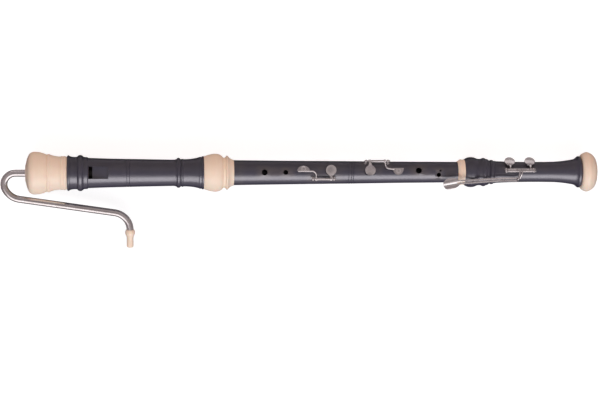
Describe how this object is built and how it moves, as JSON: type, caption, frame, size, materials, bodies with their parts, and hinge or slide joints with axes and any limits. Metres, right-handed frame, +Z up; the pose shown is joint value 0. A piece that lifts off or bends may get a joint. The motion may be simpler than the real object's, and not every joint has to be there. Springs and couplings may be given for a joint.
{
  "type": "bass recorder",
  "caption": "Bass recorder with a curved metal mouth tube, turned joints, finger holes and sprung keys, lying on its back.",
  "frame": {"origin": "centre of the bounding box at the ground plane, under the instrument as it lies on its back", "axes": "+X along the bore from the head cap to the bell, +Z up through the front with the window and finger holes, and the mouth tube lies to -Y"},
  "size_m": [0.977, 0.1571, 0.0694],
  "materials": {
    "dark_body": "dark purple-brown moulded plastic, satin",
    "ivory": "ivory coloured moulded plastic, satin",
    "tube_metal": "drawn brass tube, nickel plated, polished",
    "key_metal": "cast and bent brass, nickel plated, polished",
    "rod_steel": "turned steel",
    "spring_steel": "blued spring steel",
    "cork": "natural cork, lightly greased",
    "pad_leather": "pad leather over felt",
    "felt": "dark wool felt",
    "block_plastic": "ivory coloured moulded plastic, matte"
  },
  "bodies": {
    "middle": {"middle_joint": "dark_body", "upper_tenon_cork": "cork", "lower_tenon_cork": "cork", "key_3_posts": "key_metal", "key_3_rod": "rod_steel", "key_3_spring": "spring_steel", "key_4_posts": "key_metal", "key_4_rod": "rod_steel", "key_4_spring": "spring_steel", "strap_plate": "key_metal", "strap_screws": "rod_steel", "thumb_rest": "key_metal", "thumb_rest_screws": "rod_steel"},
    "head": {"head_joint": "dark_body", "head_socket_ring": "ivory", "block": "block_plastic", "cap_seal": "cork"},
    "cap": {"head_cap": "ivory"},
    "bocal": {"bocal_tube": "tube_metal", "bocal_cork": "cork"},
    "mouthpiece": {"bocal_mouthpiece": "ivory"},
    "foot": {"foot_joint": "dark_body", "foot_socket_ring": "ivory", "bell_ring": "ivory", "foot_key_posts": "key_metal", "foot_lever_rod": "rod_steel", "foot_pad_rod": "rod_steel", "low_f_spring": "spring_steel", "low_f_sharp_spring": "spring_steel", "lever_bumper": "felt"},
    "key_3": {"key_3_lever": "key_metal", "key_3_pad": "pad_leather"},
    "key_4": {"key_4_lever": "key_metal", "key_4_pad": "pad_leather"},
    "low_f_touch": {"low_f_lever": "key_metal"},
    "low_f_sharp_touch": {"low_f_sharp_lever": "key_metal"},
    "low_f_cup": {"low_f_pad_key": "key_metal", "low_f_pad": "pad_leather"},
    "low_f_sharp_cup": {"low_f_sharp_pad_key": "key_metal", "low_f_sharp_pad": "pad_leather"},
    "sling_ring": {"strap_ring": "key_metal"}
  },
  "joints": [
    {"name": "head_tuning_slide", "type": "slide", "parent": "middle", "child": "head", "axis": [-1, 0, 0], "range_m": [0, 0.012]},
    {"name": "cap_pull", "type": "slide", "parent": "head", "child": "cap", "axis": [-1, 0, 0], "range_m": [0, 0.03]},
    {"name": "bocal_swivel", "type": "hinge", "parent": "cap", "child": "bocal", "pos_m": [-0.44788, 0.04385, 0.0346], "axis": [1, 0, 0], "continuous": true},
    {"name": "mouthpiece_pull", "type": "slide", "parent": "bocal", "child": "mouthpiece", "axis": [0, -0.9715, -0.2369], "range_m": [0, 0.008]},
    {"name": "foot_twist", "type": "hinge", "parent": "middle", "child": "foot", "pos_m": [0.27213, 0.04385, 0.0346], "axis": [1, 0, 0], "continuous": true},
    {"name": "key_3_press", "type": "hinge", "parent": "middle", "child": "key_3", "pos_m": [0.03612, 0.03265, 0.0553], "axis": [1, 0, 0], "range_deg": [-12, 0], "stiffness_Nm_per_rad": 0.05, "springref_deg": 20},
    {"name": "key_4_press", "type": "hinge", "parent": "middle", "child": "key_4", "pos_m": [0.12612, 0.06185, 0.0492], "axis": [1, 0, 0], "range_deg": [0, 12], "stiffness_Nm_per_rad": 0.05, "springref_deg": -20},
    {"name": "low_f_press", "type": "hinge", "parent": "foot", "child": "low_f_touch", "pos_m": [0.37612, 0.04465, 0.0565], "axis": [1, 0, 0], "range_deg": [0, 9], "stiffness_Nm_per_rad": 0.05, "springref_deg": -20},
    {"name": "low_f_sharp_press", "type": "hinge", "parent": "foot", "child": "low_f_sharp_touch", "pos_m": [0.35213, 0.04465, 0.0565], "axis": [1, 0, 0], "range_deg": [0, 9], "stiffness_Nm_per_rad": 0.05, "springref_deg": -20},
    {"name": "low_f_pad_close", "type": "hinge", "parent": "foot", "child": "low_f_cup", "pos_m": [0.37612, 0.04775, 0.0547], "axis": [1, 0, 0], "range_deg": [-12, 0]},
    {"name": "low_f_sharp_pad_close", "type": "hinge", "parent": "foot", "child": "low_f_sharp_cup", "pos_m": [0.35213, 0.04775, 0.0547], "axis": [1, 0, 0], "range_deg": [-12, 0]},
    {"name": "sling_ring_swing", "type": "hinge", "parent": "middle", "child": "sling_ring", "pos_m": [0.03213, 0.04385, 0.0116], "axis": [0, 1, 0], "range_deg": [-36, 124]}
  ],
  "couplings": [
    {"joint": "low_f_pad_close", "follows": "low_f_press", "ratio": -1.3333},
    {"joint": "low_f_sharp_pad_close", "follows": "low_f_sharp_press", "ratio": -1.3333}
  ]
}
